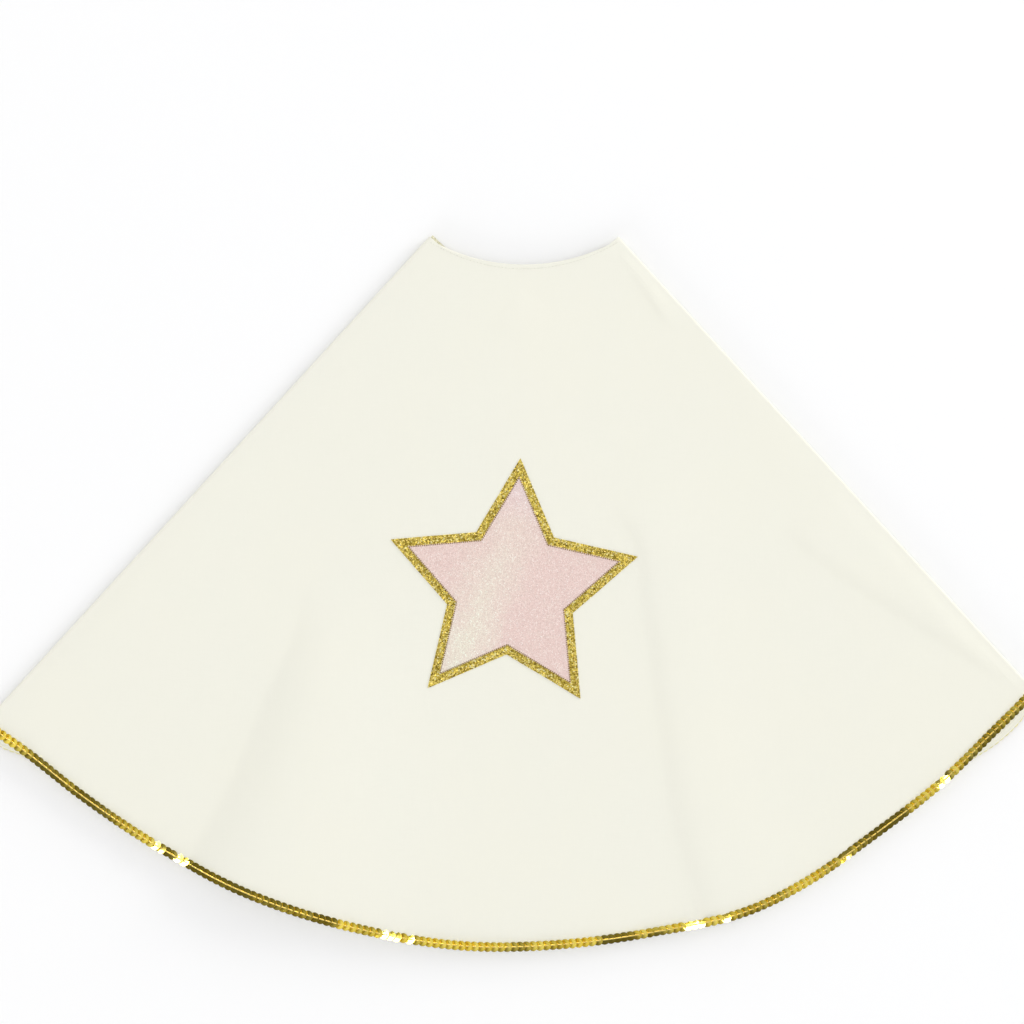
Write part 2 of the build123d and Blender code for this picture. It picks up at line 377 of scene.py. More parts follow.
def front_grid(side, layer):
    """A front with its fold: a strip of the back, the fold's roll, and the turned-under panel."""
    v = rows_between(layer.rows)[:, None]
    corner = neck_radius(FOLD_ANGLE)
    fold_radius = corner + v * (front_hem[side](0) + layer.past_line - corner)
    inset = np.array([CUT, 7, 6, 5, 4.2, 3.5, 2.9, 2.3, 1.7, 1.2, 0.6])[None, :]
    x, y = beside_fold(fold_radius, inset, side)
    strip = raised((x, y), layer.above + relief(x, y))
    roll = (layer.above - layer.below) / 2
    turn = np.radians(np.linspace(0, 180, 11))[None, :]
    drop = ROUNDING[side][0] * np.cos(turn / 2) ** 2
    plan = beside_fold(fold_radius, -roll * np.sin(turn), side)
    fold = raised(plan, FOLD_Z + roll * np.cos(turn) - drop)
    by_edge = FRONT_ANGLE - np.array([0.2, 0.06, 0])
    turn = np.r_[np.linspace(0, FRONT_ANGLE - 0.4, layer.panel_columns - 3), by_edge][None, 1:]
    neck = front_neck_radius(turn)
    radius = neck + v * (front_hem[side](turn) + layer.past_line - neck)
    plan = spot(radius, side * (FOLD_ANGLE - turn))
    panel = raised(plan, layer.below + sag(radius, turn, side))
    return np.concatenate([strip, fold, panel], 1)


def walk(points, pitch, ends=0.5):
    """Evenly spaced places along a line of points, and the direction of the line at each."""
    steps = np.r_[0, np.cumsum(np.linalg.norm(np.diff(points, axis=0), axis=1))]
    count = max(1, int(round((steps[-1] - 2 * ends * pitch) / pitch)) + 1)
    at = np.linspace(ends * pitch, steps[-1] - ends * pitch, count)

    def here(at):
        return np.stack([np.interp(at, steps, column) for column in points.T], 1)

    return here(at), unit(here(at + 0.5) - here(at - 0.5))


def copies(template, faces, places, along, up, sizes=1.0):
    """A template's points and faces repeated at places, its x axis along and its z axis up."""
    side = unit(np.cross(up, along))
    up = unit(np.cross(along, side))
    sizes = np.broadcast_to(sizes, (len(places), 3))
    parts = (
        places[:, None, :]
        + template[None, :, 0:1] * sizes[:, None, 0:1] * along[:, None, :]
        + template[None, :, 1:2] * sizes[:, None, 1:2] * side[:, None, :]
        + template[None, :, 2:3] * sizes[:, None, 2:3] * up[:, None, :]
    )
    count = len(template)
    every = [
        tuple(count * k + v for v in face) for k in range(len(places)) for face in faces
    ]
    return parts.reshape(-1, 3), every


def stitch_shape():
    """One stitch of length 2 along x, its ends dipping into the cloth."""
    around, rings = 8, (-0.94, -0.7, -0.25, 0.25, 0.7, 0.94)
    points, faces = [], []
    for s in rings:
        fat = (1 - abs(s) ** 3.2) ** 0.5
        for k in range(around):
            turn = 2 * pi * k / around
            points.append((s, fat * cos(turn), fat * sin(turn) - 0.9 * s ** 4))
    tips = len(points)
    points += [(-1, 0, -0.9), (1, 0, -0.9)]
    for ring in range(len(rings) - 1):
        for k in range(around):
            a, b = ring * around + k, ring * around + (k + 1) % around
            faces.append((a, b, b + around, a + around))
    last = (len(rings) - 1) * around
    for k in range(around):
        faces.append((tips, (k + 1) % around, k))
        faces.append((tips + 1, last + k, last + (k + 1) % around))
    return np.array(points), faces


STITCH, STITCH_FACES = stitch_shape()
HALF_STITCH = 0.42          # over the pitch
TURNED, UNEVEN = 0.035, 0.05        # spread of the stitches' directions and of their lengths


def stitches(name, lines, pitch, width, up, slot, body, node, seed):
    """Rows of running stitches along lines of points that lie on the cloth's face."""
    random = np.random.RandomState(seed)
    places, along = [], []
    for line in lines:
        spots, ways = walk(line, pitch)
        places.append(spots)
        along.append(ways)
    places, along = np.concatenate(places), np.concatenate(along)
    upward = np.tile(np.array(up, float), (len(places), 1))
    swing = random.normal(0, TURNED, len(places))[:, None] * np.cross(upward, along)
    lengths = pitch * HALF_STITCH * (1 + random.normal(0, UNEVEN, len(places)))
    half = np.full(len(places), width / 2)
    sizes = np.stack([lengths, half, half], 1)
    rows = copies(
        STITCH, STITCH_FACES, places + upward * width * 0.18, unit(along + swing), upward, sizes
    )
    make(name, rows, slot, body, node, mend=False)


def tube(line, radius, around=7):
    """A tube along a line of points."""
    ways = unit(np.gradient(line, axis=0))
    side = unit(np.cross(np.array([0, 0, 1.0]), ways))
    up = np.cross(ways, side)
    turn = np.linspace(0, 2 * pi, around, endpoint=False)
    ring = (
        np.cos(turn)[None, :, None] * side[:, None, :]
        + np.sin(turn)[None, :, None] * up[:, None, :]
    )
    points = (line[:, None, :] + radius * ring).reshape(-1, 3)
    count = len(line)
    faces = [
        (r * around + k, r * around + (k + 1) % around,
         (r + 1) * around + (k + 1) % around, (r + 1) * around + k)
        for r in range(count - 1)
        for k in range(around)
    ]
    faces.append(tuple(range(around))[::-1])
    faces.append(tuple((count - 1) * around + k for k in range(around)))
    return points, faces


def wander(count, reach, seed):
    """A smooth random line of values with unit spread."""
    random = np.random.RandomState(seed)
    kernel = np.exp(-0.5 * (np.arange(-3 * reach, 3 * reach + 1) / reach) ** 2)
    values = np.convolve(random.normal(size=count + 2 * len(kernel)), kernel, "same")
    values = values[len(kernel):len(kernel) + count]
    return values / values.std()


# ---- Materials -----------------------------------------------------------------------------


class Nodes:
    """Short ways to add and join the nodes of a material or a world."""

    def __init__(self, owner):
        owner.use_nodes = True
        self.tree = owner.node_tree

    def add(self, kind, settings=None, **inputs):
        node = self.tree.nodes.new("ShaderNode" + kind)
        for key, value in (settings or {}).items():
            setattr(node, key, value)
        for key, value in inputs.items():
            self.put(node.inputs[key.replace("_", " ")], value)
        return node

    def put(self, socket, value):
        if isinstance(value, bpy.types.NodeSocket):
            self.tree.links.new(value, socket)
        else:
            socket.default_value = value

    def math(self, operation, *values, kind="Math"):
        node = self.add(kind, {"operation": operation})
        for socket, value in zip(node.inputs, values):
            self.put(socket, value)
        return node.outputs[0]

    def vector(self, operation, *values):
        return self.math(operation, *values, kind="VectorMath")

    def ramp(self, value, stops):
        node = self.add("ValToRGB", Fac=value)
        ends = node.color_ramp.elements
        while len(ends) < len(stops):
            ends.new(0.5)
        for end, (position, colour) in zip(ends, stops):
            end.position = position
            end.color = (*colour, 1)
        return node.outputs["Color"]


class Shader(Nodes):
    """A procedural material."""

    def __init__(self, name, **sockets):
        looks[name] = bpy.data.materials.new(name)
        super().__init__(looks[name])
        self.surface = self.tree.nodes["Principled BSDF"]
        for key, value in sockets.items():
            self.surface.inputs[key.replace("_", " ")].default_value = value
        self.place = self.add("TexCoord").outputs["Object"]

    def stretched(self, x, y, z, turn=0.0):
        node = self.add("Mapping", Vector=self.place, Scale=(x, y, z))
        node.inputs["Rotation"].default_value[2] = radians(turn)
        return node.outputs[0]

    def noise(self, scale, detail, rough=0.5, place=None):
        node = self.add("TexNoise", Vector=place or self.place, Scale=scale, Detail=detail)
        node.inputs["Roughness"].default_value = rough
        return node.outputs["Fac"]

    def wave(self, direction, period, wobble=0.6):
        settings = {"wave_type": "BANDS", "bands_direction": direction, "wave_profile": "SIN"}
        node = self.add("TexWave", settings, Vector=self.place, Scale=pi / 10 / (period * MM))
        node.inputs["Distortion"].default_value = wobble
        node.inputs["Detail"].default_value = 1.0
        node.inputs["Detail Scale"].default_value = 0.4
        return node.outputs["Fac"]

    def span(self, value, low_in, high_in, low_out=0.0, high_out=1.0):
        node = self.add("MapRange", Value=value)
        for key, number in zip(("From Min", "From Max", "To Min", "To Max"),
                               (low_in, high_in, low_out, high_out)):
            node.inputs[key].default_value = number
        return node.outputs[0]

    def mix(self, share, a, b, kind="MIX"):
        node = self.add("Mix", {"data_type": "RGBA", "blend_type": kind})
        self.put(node.inputs[0], share)
        for socket, value in ((node.inputs[6], a), (node.inputs[7], b)):
            self.put(socket, (*value, 1) if isinstance(value, tuple) else value)
        return node.outputs[2]

    def bump(self, height, depth, strength, onto=None):
        node = self.add("Bump", Height=height, Strength=strength, Distance=depth * MM)
        if onto is not None:
            self.put(node.inputs["Normal"], onto)
        return node.outputs[0]

    def finish(self, colour=None, roughness=None, normal=None):
        for key, value in (("Base Color", colour), ("Roughness", roughness), ("Normal", normal)):
            if value is not None:
                self.put(self.surface.inputs[key], value)


def woven(name, colour, yarn, roughness, sheen, depth, shade=0.05, tint=(1, 1, 1)):
    """Plain-woven cloth: crossing yarns with painted shade where they pass under, slubs along them,
    and a faint change of tone.
    """
    look = Shader(name, Sheen_Weight=sheen, Sheen_Roughness=0.45, IOR=1.42)
    look.surface.inputs["Specular IOR Level"].default_value = 0.28
    warp = look.wave("X", yarn)
    weft = look.wave("Y", yarn * 1.08)
    over = look.math("MULTIPLY", warp, weft)
    under = look.math("MULTIPLY", look.math("SUBTRACT", 1.0, warp), look.math("SUBTRACT", 1.0, weft))
    weave = look.math("ADD", over, under)
    slubs = look.noise(1.0, 3, 0.6, look.stretched(1 / (yarn * MM * 2.2), 1 / 0.016, 300))
    cross = look.noise(1.0, 3, 0.6, look.stretched(1 / 0.013, 1 / (yarn * MM * 2.4), 300))
    broad = look.noise(7.0, 3, 0.55)
    # a darker copy of the cloth's colour, used for painted shade between the yarns and for darker
    # slubs
    dark = tuple(c * (1 - shade) for c in colour)
    warm = tuple(c * t for c, t in zip(colour, tint))
    # painted shade: the yarns are darker where they pass under each other, in the weave's hollows
    yarn_gap_shade = look.mix(look.span(weave, 0.1, 0.6), dark, colour)
    threads = look.mix(look.span(look.math("ADD", slubs, cross), 0.8, 1.2, 0.0, 0.35), yarn_gap_shade, dark)
    toned = look.mix(look.span(broad, 0.35, 0.7, 0, 0.6), threads, warm)
    height = look.math("ADD", weave, look.math("MULTIPLY", look.math("ADD", slubs, cross), 0.6))
    fine = look.bump(height, depth, 0.5)
    puckers = look.bump(look.noise(90, 2, 0.4), 0.25, 0.25, fine)
    gloss = look.span(look.math("ADD", slubs, weave), 0.4, 1.6, roughness - 0.08, roughness + 0.08)
    look.finish(toned, gloss, puckers)


def glitter(name, flake, stops, scatter, metallic, roughness, tones=None):
    """Cloth coated with flakes, each with its own tone and tilt, the brightest tones painted glints,
    and each flake painted darker towards its edge as shade.
    """
    look = Shader(name, Metallic=metallic, IOR=1.45)
    flat = look.stretched(1, 1, 0.35)
    cells = look.add("TexVoronoi", Vector=flat, Scale=1 / (flake * MM))
    split = look.add("SeparateColor", Color=cells.outputs["Color"])
    # each flake's tone from the stops: the brightest stops are painted glints
    tone = look.ramp(split.outputs[0], stops)
    if tones:
        tone = tones(look, tone)
    # painted shade: each flake is darker towards its edge, between the flakes
    flake_edge_shade = look.span(cells.outputs["Distance"], 0.35, 0.75, 0, 1)
    edge = tuple(c * 0.55 for c in stops[0][1])
    colour = look.mix(look.math("MULTIPLY", flake_edge_shade, 0.35), tone, edge)
    tilt = look.vector("SUBTRACT", cells.outputs["Color"], (0.5, 0.5, 0.5))
    tilt = look.vector("MULTIPLY", tilt, (scatter, scatter, 0.0))
    facing = look.add("NewGeometry").outputs["Normal"]
    leaning = look.vector("NORMALIZE", look.vector("ADD", facing, tilt))
    look.finish(colour, look.span(split.outputs[1], 0, 1, roughness * 0.7, roughness * 1.3), leaning)


TWIST = 0.5                 # from one turn of a thread's twist to the next


def yarn_look(name, colour, sheen, metallic, roughness):
    """Sewing thread: a fine slanting twist, painted darker and lighter along it as shade and
    highlight, and a little change of tone from stitch to stitch.
    """
    look = Shader(name, Metallic=metallic, Sheen_Weight=sheen, IOR=1.5)
    lay = look.wave("DIAGONAL", TWIST, 0)
    tone = look.noise(420, 1)
    # painted shade and highlight: darker and lighter copies of the thread's colour along its twist
    dark = tuple(c * 0.72 for c in colour)
    light = tuple(min(1.0, c * 1.08) for c in colour)
    twist_shading = look.mix(look.span(lay, 0.2, 0.8), dark, light)
    spread = look.mix(look.span(tone, 0.3, 0.7, 0, 0.35), twist_shading, dark)
    look.finish(spread, look.span(lay, 0, 1, roughness, roughness + 0.15), look.bump(lay, 0.06, 0.7))


FILM_STOPS = [(0.0, (0.9, 0.66, 0.07)), (0.5, (0.95, 0.74, 0.1)), (1.0, (0.98, 0.8, 0.15))]


def sequin_look():
    """Gold-coated film, a little different from sequin to sequin, with fine scratches."""
    look = Shader("gold_sequins", Metallic=1.0, IOR=1.5, Coat_Weight=0.25, Coat_Roughness=0.12)
    own = look.add("NewGeometry").outputs["Random Per Island"]
    base = look.ramp(own, FILM_STOPS)
    scratches = look.noise(1.0, 3, 0.6, look.stretched(2600, 350, 900, 35))
    dull = look.mix(look.span(scratches, 0.55, 0.75, 0, 0.25), base, (0.75, 0.53, 0.05))
    look.finish(dull, look.span(scratches, 0.3, 0.8, 0.13, 0.24), look.bump(scratches, 0.03, 0.25))


def tape_look(name, colour, pile, depth):
    """Nylon tape with a nap, painted darker where the nap is low, as shade."""
    look = Shader(name, Sheen_Weight=0.3, IOR=1.5)
    fuzz = look.noise(1 / (pile * MM), 4, 0.7)
    dark = tuple(c * 0.7 for c in colour)
    # painted shade: the nap is darker where it is low
    nap_tone_and_shade = look.mix(look.span(fuzz, 0.3, 0.7), dark, colour)
    look.finish(nap_tone_and_shade, look.span(fuzz, 0, 1, 0.4, 0.75), look.bump(fuzz, depth, 0.8))


def pink_tones_and_sheen(look, tone):
    """Painted sheen for the pink's iridescence: creamier along a slanting band, lilac near the top.
    """
    split = look.add("SeparateXYZ", Vector=look.place)
    x, y = split.outputs[0], split.outputs[1]
    slant = look.math("ADD", look.math("MULTIPLY", x, 0.92), look.math("MULTIPLY", y, -0.39))
    band = look.math("ABSOLUTE", look.math("SUBTRACT", slant, 0.074))
    ragged = look.math("MULTIPLY", look.noise(38, 3, 0.6), 0.03)
    cream = look.span(look.math("ADD", band, ragged), 0.045, 0.016)
    cream = look.math("MULTIPLY", cream, look.span(y, -0.2, -0.31, 0.25, 1.0))
    ragged = look.math("MULTIPLY", look.noise(60, 2), 0.03)
    lilac_sheen = look.span(look.math("ADD", y, ragged), -0.195, -0.165)
    blots = look.span(look.noise(120, 3, 0.6), 0.48, 0.66, 0, 0.5)
    # painted sheen: the cream band and the lilac top stand for the iridescence's changing reflection
    warmer = look.mix(cream, tone, (1.03, 1.27, 1.15), "MULTIPLY")
    cooler = look.mix(look.math("MULTIPLY", lilac_sheen, 0.7), warmer, (0.985, 0.99, 1.1), "MULTIPLY")
    return look.mix(blots, cooler, (1.0, 1.05, 1.03), "MULTIPLY")


woven(
    "cream_shell", (0.876, 0.869, 0.774), yarn=0.55, roughness=0.78, sheen=0.12, depth=0.07,
    shade=0.04, tint=(1.0, 0.992, 0.975),
)
woven(
    "cream_lining", (0.88, 0.87, 0.78), yarn=0.4, roughness=0.5, sheen=0.2, depth=0.04,
    shade=0.03, tint=(1, 0.99, 0.97),
)
woven("label_satin", (0.86, 0.86, 0.84), yarn=0.3, roughness=0.35, sheen=0.3, depth=0.02)
# Gold flakes' tones: the middle stops are their own gold, the near-black one painted shade, the pale
# top ones painted glints
GOLD_TONES_AND_GLINTS = [
    (0.0, (0.21, 0.14, 0.007)), (0.25, (0.45, 0.315, 0.026)), (0.6, (0.74, 0.56, 0.076)),
    (0.85, (0.94, 0.78, 0.19)), (1.0, (1.0, 0.93, 0.5)),
]
# The strap's gold glitter painted pale and washed out, as a painted highlight
PALE_HIGHLIGHT_STOPS = [
    (0.0, (0.56, 0.52, 0.32)), (0.4, (0.7, 0.67, 0.46)), (0.8, (0.79, 0.77, 0.57)),
    (1.0, (0.9, 0.89, 0.74)),
]
# Pink flakes' tones: the lower stops are their own pink, the near-white top stop painted glints
PINK_TONES_AND_GLINTS = [
    (0.0, (0.81, 0.595, 0.545)), (0.4, (0.855, 0.65, 0.6)), (0.85, (0.88, 0.685, 0.635)),
    (1.0, (1.0, 0.89, 0.85)),
]
glitter("gold_glitter", 1.0, GOLD_TONES_AND_GLINTS, scatter=0.7, metallic=0.35, roughness=0.4)
glitter("gold_glitter_painted_highlight", 0.7, PALE_HIGHLIGHT_STOPS, scatter=0.6, metallic=0.0, roughness=0.65)
glitter(
    "pink_glitter", 0.6, PINK_TONES_AND_GLINTS, scatter=0.3, metallic=0.0, roughness=0.45, tones=pink_tones_and_sheen
)
sequin_look()
# the sequins' backs: a matte film, its pale yellow partly their own colour and partly a painted
# highlight on the fronts' trims that peek out under the hem
tape_look("sequin_backs_and_glow", (0.95, 0.9, 0.5), pile=0.8, depth=0.02)
tape_look("hook_tape", (0.8, 0.79, 0.72), pile=0.5, depth=0.15)
tape_look("loop_tape", (0.82, 0.81, 0.74), pile=0.35, depth=0.3)
yarn_look("gold_thread", (0.9, 0.68, 0.2), sheen=0.0, metallic=0.35, roughness=0.35)
yarn_look("cream_thread", (0.87, 0.86, 0.75), sheen=0.3, metallic=0.0, roughness=0.5)
# dark bronze: partly the thread's own colour, partly painted shadow along the pink star's edge
yarn_look("bronze_thread", (0.3, 0.195, 0.06), sheen=0.0, metallic=0.2, roughness=0.45)

# ---- Shell and lining ----------------------------------------------------------------------

Layer = namedtuple("Layer", "name thickness above below past_line rows columns panel_columns")
LAYERS = (
    Layer("shell", SHELL_T, BACK_SHELL_MID, FRONT_SHELL_MID, HEM_PAST_LINE, 132, 236, 100),
    Layer(
        "lining", LINING_T, BACK_LINING_MID, FRONT_LINING_MID, HEM_PAST_LINE - LINING_SHORTER,
        90, 160, 70,
    ),
)
FRONTS = {-1: "left", 1: "right"}


def sector_area(angle, neck, hem):
    """Flat area of a sector of cloth, in square metres."""
    return radians(angle) / 2 * (hem ** 2 - neck ** 2) * MM ** 2


for layer in LAYERS:
    shape = cloth(back_grid(layer), layer.thickness, ("first", "last"))
    make(
        f"{layer.name}_back", shape, f"cream_{layer.name}", "back", f"back_{layer.name}"
    )
x, y = spot(300.0, FOLD_ANGLE)
for side, word in FRONTS.items():
    for layer in LAYERS:
        piece = make(
            f"{layer.name}_front_{word}",
            cloth(front_grid(side, layer), layer.thickness, ("first",)),
            f"cream_{layer.name}", None, f"front_{word}_{layer.name}",
        )
        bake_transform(piece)

BACK_MEAN_HEM, FRONT_MEAN_HEM = 638.0, 613.0
FOLD_LENGTH = 500           # the fronts' cloth goes on past the fold by CUT over this length
front_area = sector_area(FRONT_ANGLE, APEX_Y + CORNER_DROP + 2, FRONT_MEAN_HEM)
front_area += CUT * FOLD_LENGTH * MM ** 2
for side in FRONTS:
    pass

# ---- Neck and edge stitching ---------------------------------------------------------------


STITCH_PITCH = 2.9


def on_back(x, y):
    """Points on the back's outer face."""
    return raised((x, y), BACK_TOP - 0.05 + relief(x, y))


angles = np.linspace(-FOLD_ANGLE + 0.6, FOLD_ANGLE - 0.6, 120)
line = on_back(*spot(neck_radius(angles) + EDGE_STITCH_IN, angles))
stitches(
    "stitches_neck", [line], STITCH_PITCH, 0.45, (0, 0, 1), "cream_thread",
    "back", "neck_stitching_back", 11,
)


def under_front(side, radius, turn):
    """Points on a turned-under front's outer face."""
    radius, turn = np.broadcast_arrays(np.asarray(radius, float), np.asarray(turn, float))
    face = FRONT_SHELL_MID - SHELL_T / 2 + 0.02
    return raised(spot(radius, side * (FOLD_ANGLE - turn)), face + sag(radius, turn, side))


for side, word in FRONTS.items():
    turn = np.linspace(1.4, FRONT_ANGLE - 1.5, 90)
    neck_line = under_front(side, front_neck_radius(turn) + EDGE_STITCH_IN, turn)
    radius = np.linspace(
        front_neck_radius(FRONT_ANGLE) + EDGE_STITCH_IN, front_hem[side](FRONT_ANGLE) - 8, 200
    )
    edge_line = under_front(
        side, radius, FRONT_ANGLE - np.degrees(np.arcsin(EDGE_STITCH_IN / radius))
    )
    stitches(
        f"stitches_edge_{word}", [neck_line, edge_line], STITCH_PITCH, 0.55, (0, 0, -1),
        "cream_thread", f"front_{word}", f"edge_stitching_front_{word}", 12 + side,
    )

# ---- Care label ----------------------------------------------------------------------------

LABEL_MID = 4.62
LABEL_T = 0.2
low_corner, high_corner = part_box("care_label")
across = np.linspace(low_corner.x, high_corner.x, 14)[None, :] / MM
down = np.linspace(high_corner.y, low_corner.y, 20)[:, None] / MM
x, y = np.broadcast_arrays(across, down)
curl = 0.1 * np.cos((y - y.min()) / 7) * smooth((y.max() - y) / 20)
grid = raised((x, y), LABEL_MID + 0.04 * np.sin(x / 4) + curl)
make("label_care", cloth(grid, LABEL_T), "label_satin", "back", "care_label")

# ---- Star ----------------------------------------------------------------------------------


def star_outline(inset):
    """The star's corners with each edge moved in by inset."""
    corner = radians(180 / STAR_POINTS)
    edge = hypot(STAR_TIP - STAR_NOTCH * cos(corner), STAR_NOTCH * sin(corner))
    scale = 1 - inset / (STAR_TIP * STAR_NOTCH * sin(corner) / edge)
    radius = scale * np.where(np.arange(2 * STAR_POINTS) % 2 == 0, STAR_TIP, STAR_NOTCH)
    turn = np.radians(90 - STAR_TILT - np.arange(2 * STAR_POINTS) * 180 / STAR_POINTS)
    return np.stack([STAR_X + radius * np.cos(turn), STAR_Y + radius * np.sin(turn)], 1)


def outline_points(corners, steps):
    """Points round a closed outline, steps to an edge."""
    share = np.arange(steps)[:, None] / steps
    edges = [a + share * (b - a) for a, b in zip(corners, np.roll(corners, -1, 0))]
    return np.concatenate(edges)


def star_cloth(name, inset, middle, thickness, slot, node, fray):
    """A star cut from cloth, lying on what is under it, its cut edge very slightly uneven."""
    rim = outline_points(star_outline(inset), 26)
    uneven = wander(len(rim), 2, 5)[:, None] * fray
    centre = np.array([STAR_X, STAR_Y])
    rim = rim + uneven * unit(rim - centre)
    size = len(rim)
    share = np.r_[np.arange(1, 30) / 30, 0.99, 0.996, 1][:, None, None]
    rings = len(share)
    plan = np.concatenate([centre[None], (centre + share * (rim - centre)).reshape(-1, 2)])
    x, y = plan[:, 0], plan[:, 1]
    points = raised((x, y), middle + relief(x, y))
    slope_x = relief(x + 0.5, y) - relief(x - 0.5, y)
    slope_y = relief(x, y + 0.5) - relief(x, y - 0.5)
    normals = unit(np.stack([-slope_x, -slope_y, np.ones(len(x))], -1))
    faces = [(0, 1 + (k + 1) % size, 1 + k) for k in range(size)]
    for ring in range(rings - 1):
        for k in range(size):
            a, b = 1 + ring * size + k, 1 + ring * size + (k + 1) % size
            faces.append((a, b, b + size, a + size))
    edge = list(range(1 + (rings - 1) * size, 1 + rings * size))
    way = np.roll(rim, -1, 0) - np.roll(rim, 1, 0)
    outward = unit(np.stack([-way[:, 1], way[:, 0], 0 * way[:, 0]], -1)) * 0.7
    shape = thicken(points, normals, faces, edge, outward, thickness)
    make(name, shape, slot, "back", node)


star_cloth(
    "star_gold", 0, middle_of("star_backing") - 0.04, 0.55, "gold_glitter", "star_backing",
    fray=0.06,
)
star_cloth(
    "star_pink", STAR_BORDER, middle_of("star_face") - 0.02, 0.5, "pink_glitter", "star_face",
    fray=0.05,
)


def star_line(inset, height):
    """Each straight edge of an outline inside the star, as a line of points on the cloth."""
    corners = star_outline(inset)
    share = np.linspace(0, 1, 30)[:, None]
    lines = []
    for a, b in zip(corners, np.roll(corners, -1, 0)):
        x, y = (a + share * (b - a)).T
        lines.append(raised((x, y), height + relief(x, y)))
    return lines


stitches(
    "stitches_star_gold", star_line(STAR_STITCH_IN + 0.4, high("star_backing") - 0.1), 2.6, 0.45,
    (0, 0, 1), "gold_thread", "back", "star_backing_stitching", 21,
)
# the stitching round the pink star is dark bronze, partly its own colour and partly painted shadow
# along the star's edge
stitches(
    "stitches_star_pink", star_line(STAR_BORDER + 0.35, high("star_face") - 0.2), 1.7, 0.95,
    (0, 0, 1), "bronze_thread", "back", "star_face_stitching", 22,
)

# ---- Sequins -------------------------------------------------------------------------------

SEQUIN_R = 4.0
SEQUIN_PITCH = 5.2
SEQUIN_CUP = 0.32           # how far a sequin's rim stands above its middle
SEQUIN_FILM = 0.14
SEQUIN_LIFT = 0.385         # its middle rises by this times its radius and the sine of its lean
THREAD_R = 0.5
THREAD_UP = 0.55            # of the thread's middle over the middles of the sequins
THREAD_WAVE = 0.14          # half of how far the thread goes up and down at each sequin
GLINT_LIGHT = (-0.55, 1.5, 1.45)                # in metres

# How far the sequins lean along the string, in degrees, by angle along the hem.  Where they lie
# flatter they mirror the dark ceiling and look brown; where they lean, they mirror the walls.
LEAN = {
    -42.5: 20, -40: 21, -38.5: 8, -36: 6, -33: 7, -31: 12, -28.5: 23, -27.4: 26, -26.6: 7,
    -25.4: 24, -24.4: 8, -20: 9, -16: 8, -13.8: 8, -13.2: 22, -9: 23, -4: 20, -1: 22, 1: 22, 5: 21,
    5.7: 6, 7.4: 5, 8.4: 20, 9.4: 8, 10.4: 19, 13: 22, 16: 17, 20: 22, 22.6: 20, 24: 24, 25: 13,
    26.4: 14, 27.2: 8, 29.2: 8, 29.8: 23, 31.8: 23, 33.4: 24, 34.6: 20, 35.6: 14, 40: 15, 42.5: 16,
}
# Where along the hem the sequins mirror the light, and how far to each side, in degrees
GLINTS = {
    -25.4: 0.45, -27.3: 0.3, -9.6: 0.65, -8.1: 0.3, 12.2: 0.6, 14.5: 0.3, 24.0: 0.25, 33.1: 0.5,
}


def sequin_shape():
    """A cupped disc with a hole, its open side towards z."""
    around = 20
    radii = np.array([0.5, 1.15, 2.1, 3.1, SEQUIN_R])
    rise = SEQUIN_CUP * smooth((radii - 0.6) / (SEQUIN_R - 0.6) * 0.86) / smooth(0.86)
    turn = 2 * pi * np.arange(around) / around
    points, faces = [], []
    for lift in (SEQUIN_FILM, 0.0):
        for radius, height in zip(radii, rise):
            points += [(radius * cos(t), radius * sin(t), height + lift) for t in turn]
    rings = len(radii)
    for ring in range(rings - 1):
        for k in range(around):
            a, b = ring * around + k, ring * around + (k + 1) % around
            c, d = a + rings * around, b + rings * around
            faces.append((a, a + around, b + around, b))
            faces.append((c, d, d + around, c + around))
    for k in range(around):
        b = (k + 1) % around
        deep = rings * around
        faces.append((k, b, b + deep, k + deep))
        rim = (rings - 1) * around
        faces.append((rim + k, rim + k + deep, rim + b + deep, rim + b))
    return np.array(points), faces


SEQUIN, SEQUIN_FACES = sequin_shape()
HOLLOW_SIDE = len(SEQUIN) // 2
SEQUIN_BACKS = np.array([min(face) >= HOLLOW_SIDE for face in SEQUIN_FACES], int)


def strung(body, line, lean, twist, up, height, seed, aimed=None):
    """A body's string of sequins and its thread, along a line of points on the cloth's face."""
    places, along = walk(line, SEQUIN_PITCH)
    count = len(places)
    upward = np.tile(np.array([0, 0, up], float), (count, 1))
    side = unit(np.cross(upward, along))
    lean, twist = np.radians(lean(places)), np.radians(twist(places))
    face = (
        upward * (np.cos(lean) * np.cos(twist))[:, None]
        - along * (np.sin(lean) * np.cos(twist))[:, None]
        + side * np.sin(twist)[:, None]
    )
    if aimed is not None:
        target, share = aimed(places)
        random = np.random.RandomState(seed + 1)
        target = unit(target + random.normal(0, 0.03, target.shape))
        face = unit(face + share[:, None] * (target - face))
    ahead = unit(along - face * np.sum(along * face, 1)[:, None])
    lifted = SEQUIN_R * np.linalg.norm(np.cross(face, upward), axis=1) * SEQUIN_LIFT
    centres = places + upward * (height + lifted[:, None])
    row = copies(SEQUIN, SEQUIN_FACES, centres, ahead, face)
    piece = make(
        f"sequins_{body}", row, "gold_sequins", body, f"hem_sequins_{body}", mend=False
    )
    # the backs' material carries a painted highlight as well as their own colour
    piece.data.materials.append(looks["sequin_backs_and_glow"])
    piece.data.polygons.foreach_set("material_index", np.tile(SEQUIN_BACKS, count))
    fine, _ = walk(line, SEQUIN_PITCH / 6, 0)
    waves = np.linspace(0, 2 * pi * (len(fine) - 1) / 6, len(fine))
    over = np.interp(np.linspace(0, 1, len(fine)), np.linspace(0, 1, count), lifted)
    over = height + THREAD_UP + over + THREAD_WAVE * np.cos(waves)
    fine = fine + np.array([0, 0, up]) * over[:, None]
    cord = tube(fine, THREAD_R)
    make(f"thread_{body}", cord, "gold_thread", body, f"hem_thread_{body}", mend=False)


